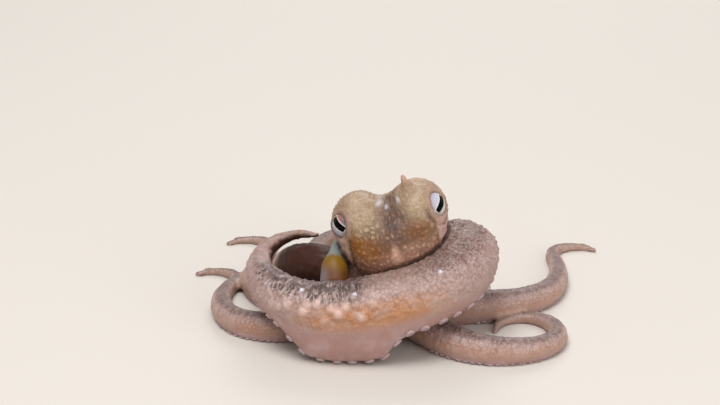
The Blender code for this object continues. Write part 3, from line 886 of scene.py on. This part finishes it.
# Sucker flesh is bare, moist muscle: smoother than the skin, so it shines a little more.
sucker_material, tree, sucker_shader, place = flesh_material("sucker_flesh")
cloud = add_node(tree, "ShaderNodeTexNoise", {"Vector": place, "Scale": per_metre(1.4),
                                              "Detail": 2.0, "Roughness": 0.55}).outputs["Fac"]
cup_colour = painted(tree, "#86686a", (("#b9a09f", ("rim", 0.1, 0.9)),
                                       ("#b3a3b0", (cloud, 0.4, 0.7, 0.0, 0.5))))
set_inputs(sucker_shader, {"Base Color": cup_colour, "Roughness": 0.34, "IOR": 1.38,
                           "Subsurface Weight": 0.2, "Subsurface Radius": (1.0, 0.55, 0.45),
                           "Subsurface Scale": 0.5 * MM})
sucker_mesh.materials.append(sucker_material)
suckers = placed("suckers", sucker_mesh)
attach(suckers, "root")


# Eyes: firm wet globes. The pupil is a thick slit sunk in a silvery iris; a pale line
# runs along both of its sides, and a copper patch lies above the right eye's one.
SLIT_LEAN = math.radians(53.0)      # its top leans outward
SLIT_HALF_LENGTH = 1.60
SLIT_HALF_WIDTH = 0.52
SLIT_MIDDLE = {1: (0.06, -0.08), -1: (-0.14, 0.40)}   # millimetres outward and upward
SLIT_BOW = 0.03
SLIT_SQUARENESS = 6.0               # 2 would be an oval
SLIT_DEPTH = 0.16
CORNEA_RISE = 0.10

# The iris is silvery and matt under a clear wet surface, which gives a small sharp glint.
eye_material, tree, eye_shader, place = flesh_material("wet_silvery_iris")
on_slit = add_node(tree, "ShaderNodeUVMap", uv_map="slit_mm").outputs[0]
on_slit = add_node(tree, "ShaderNodeSeparateXYZ", {0: on_slit}).outputs
slit_along, slit_across = on_slit["X"], on_slit["Y"]


def slit_size(longer, wider):
    """1 on the outline of the slit, grown by these millimetres, and less inside it."""
    powers = []
    for measure, half_size in ((slit_along, SLIT_HALF_LENGTH + longer),
                               (slit_across, SLIT_HALF_WIDTH + wider)):
        share = add_node(tree, "ShaderNodeMath", {0: measure, 1: half_size},
                         operation="DIVIDE").outputs[0]
        powers.append(add_node(tree, "ShaderNodeMath", {0: share, 1: SLIT_SQUARENESS},
                               operation="POWER").outputs[0])
    return strength(tree, powers[:1], powers[1:])


cloud = add_node(tree, "ShaderNodeTexNoise", {"Vector": place, "Scale": per_metre(0.5),
                                              "Detail": 3.0, "Roughness": 0.55}).outputs["Fac"]
iris = painted(tree, "#c0bdc5", (
    ("#a39dab", (cloud, 0.35, 0.7, 0.0, 0.5)),
    ("#b3aebf", (slit_across, 0.7, 1.3, 0.0, 0.7)),
    ("#dbd8c6", (slit_across, -0.45, -0.9), ("copper", 0.0, 1.0, 1.0, 0.0), 0.6),
    ("#7d6a78", (slit_across, -1.3, -1.9, 0.0, 0.6)),
    # painted shade on the globe under the lid's edge
    ("#6b5662", "shade_toward_lid", 0.4),
    ("#7b6067", "copper", (slit_across, 0.55, 0.72), 0.9),
    ("#a8684a", "copper", (slit_across, 0.55, 0.72), (slit_along, -0.9, 0.3),
     (slit_across, 1.25, 0.8)),
    ("#dcd9e0", (slit_size(0.15, 0.17), 1.4, 0.7), (slit_across, -0.1, 0.1), 0.9),
    ("#b9ad92", (slit_size(0.10, 0.09), 1.3, 0.8), (slit_across, -0.1, 0.1, 1.0, 0.0), 0.25),
    ("#020203", (slit_size(0.0, 0.0), 1.15, 0.85))))
set_inputs(eye_shader, {"Base Color": iris, "Roughness": 0.22, "IOR": 1.34,
                        "Specular IOR Level": 0.08, "Coat Weight": 0.15,
                        "Coat Roughness": 0.04, "Coat IOR": 1.34, "Subsurface Weight": 0.05,
                        "Subsurface Radius": (0.5, 0.4, 0.35), "Subsurface Scale": 0.5 * MM})

for name, side in (("eye_left", 1), ("eye_right", -1)):
    look, aside, above = eye_axes(side)
    bm = bmesh.new()
    bmesh.ops.create_uvsphere(bm, u_segments=64, v_segments=56, radius=EYE_RADIUS * MM)
    slit_mm = {}
    for vert in bm.verts:
        way = vert.co.normalized()
        angle = way.angle(Vector((0.0, 0.0, 1.0)))
        out = Vector((way.x, way.y)).normalized() * angle * EYE_RADIUS
        outward_mm = out.x * side - SLIT_MIDDLE[side][0]
        upward_mm = out.y - SLIT_MIDDLE[side][1]
        along_slit = upward_mm * math.cos(SLIT_LEAN) + outward_mm * math.sin(SLIT_LEAN)
        across_slit = upward_mm * math.sin(SLIT_LEAN) - outward_mm * math.cos(SLIT_LEAN)
        across_slit -= SLIT_BOW * along_slit ** 2
        slit_mm[vert] = (along_slit, across_slit)
        edge = (along_slit / SLIT_HALF_LENGTH) ** 4 + (across_slit / SLIT_HALF_WIDTH) ** 4
        sunk = SLIT_DEPTH * (1.0 - ease(0.4, 1.3, edge)) if angle < 1.5 else 0.0
        cornea = CORNEA_RISE * float(1.0 - ease(0.0, 0.9, angle))
        vert.co = way * (EYE_RADIUS + cornea - float(sunk)) * MM
    uv_layer = bm.loops.layers.uv.new("slit_mm")
    for face in bm.faces:
        for loop in face.loops:
            loop[uv_layer].uv = slit_mm[loop.vert]
    turn = Matrix((aside, above, look)).transposed().to_4x4()
    bm.transform(Matrix.Translation(eye_middle[side]) @ turn)
    eye_mesh = mesh_of(name + "_globe", bm)
    eye_mesh.shade_smooth()
    copper_values = np.full(len(eye_mesh.vertices), 1.0 if side < 0 else 0.0, dtype=np.float32)
    eye_mesh.attributes.new("copper", "FLOAT", "POINT").data.foreach_set("value", copper_values)
    # painted shade: the globe darkens toward the edge of the lid that overlaps it
    from_pole = np.array([(vert.co - eye_middle[side]).angle(look) for vert in eye_mesh.vertices])
    lid_shade_values = ease(0.52, 0.86, from_pole).astype(np.float32)
    eye_mesh.attributes.new("shade_toward_lid", "FLOAT", "POINT").data.foreach_set("value", lid_shade_values)
    eye_mesh.materials.append(eye_material)
    globe = placed(name + "_globe", eye_mesh)
    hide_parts(name)
    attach(globe, "root")


# Funnel: the siphon, a thin, half clear tube that widens to an open mouth with a soft
# edge. It is grey-blue where it leaves the head, then yellow, and tan at the mouth.
FUNNEL_ROUTE = ((-5.6, 2.4, 13.6), (-8.0, 0.2, 14.6), (-8.6, -2.4, 13.8), (-8.6, -5.2, 9.9))
FUNNEL_SIDES = 40
FUNNEL_NECK = 0.74                  # radius in millimetres, and what it gains at the head,
HEAD_SWELL = 0.40                   # along the bell and towards the lip
BELL_SWELL = 1.20
LIP_SWELL = 0.36
FUNNEL_WALL = 0.2
LINING_BEGINS = 0.45                # share of its length; nearer the head the tube is closed
MOUTH_WAVES = 5
WAVE_HEIGHT = 0.07
route = raised_line(FUNNEL_ROUTE, 1.0, 0.0)[0]
last = len(route) - 1


def funnel_radius(share):
    """Wide at the head, narrow at the neck and opening in two steps to the mouth."""
    bell = BELL_SWELL * float(ease(0.46, 0.78, share)) + LIP_SWELL * float(ease(0.6, 1.0, share))
    return FUNNEL_NECK + HEAD_SWELL * float(1.0 - ease(0.0, 0.3, share)) + bell


bm = bmesh.new()
mouthward = bm.verts.layers.float.new("mouthward")
outer_side = bm.verts.layers.float.new("outer_side")
rings = [(i, funnel_radius(i / last)) for i in range(last + 1)]
rings += [(last, funnel_radius(1.0) - FUNNEL_WALL * 0.6)]
rings += [(i, funnel_radius(i / last) - FUNNEL_WALL)
          for i in range(last - 1, round(last * LINING_BEGINS), -1)]
before = None
for order, (i, radius) in enumerate(rings):
    ahead, across, upward = arm_frame(route, i)
    place_ring = Matrix((across, upward, ahead)).transposed().to_4x4()
    place_ring.translation = route[i]
    circle = bmesh.ops.create_circle(bm, segments=FUNNEL_SIDES, radius=radius * MM,
                                     cap_ends=order in (0, len(rings) - 1), matrix=place_ring)
    for k, vert in enumerate(circle["verts"]):
        vert[mouthward] = i / last
        vert[outer_side] = float(ease(0.2, 0.9, -(vert.co - route[i]).normalized().x))
        wave = math.sin(k * 2.0 * math.pi * MOUTH_WAVES / FUNNEL_SIDES) * WAVE_HEIGHT
        vert.co += (vert.co - route[i]).normalized() * wave * MM * float(ease(0.6, 1.0, i / last))
    ring = set(circle["verts"])
    ring_edges = [edge for edge in bm.edges if ring.issuperset(edge.verts)]
    if before:
        bmesh.ops.bridge_loops(bm, edges=before + ring_edges)
    before = ring_edges
bmesh.ops.recalc_face_normals(bm, faces=bm.faces[:])
funnel_mesh = mesh_of("siphon", bm)
funnel_mesh.shade_smooth()

# Its thin wet flesh lets light through, so the tube looks clear and soft, not painted.
funnel_material, tree, funnel_shader, place = flesh_material("thin_siphon_flesh")
cloud = add_node(tree, "ShaderNodeTexNoise", {"Vector": place, "Scale": per_metre(1.6),
                                              "Detail": 2.0, "Roughness": 0.55}).outputs["Fac"]
toward_mouth = strength(tree, ["mouthward"], [(cloud, 0.2, 0.8, -0.02, 0.02)])
tube_colour = painted(tree, "#7a8380", (
    ("#7c5910", (toward_mouth, 0.57, 0.66)),
    ("#6b421c", (toward_mouth, 0.76, 0.9)),
    ("#857a80", (toward_mouth, 0.72, 0.9), "outer_side"),
    ("#b3a197", ("mouthward", 0.975, 1.0, 0.0, 0.7))))
set_inputs(funnel_shader, {"Base Color": tube_colour, "Roughness": 0.46, "IOR": 1.37,
                           "Subsurface Weight": 0.45, "Subsurface Radius": (1.0, 0.6, 0.35),
                           "Subsurface Scale": 0.8 * MM})
funnel_mesh.materials.append(funnel_material)
siphon = placed("siphon", funnel_mesh)
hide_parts("funnel")
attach(siphon, "root")
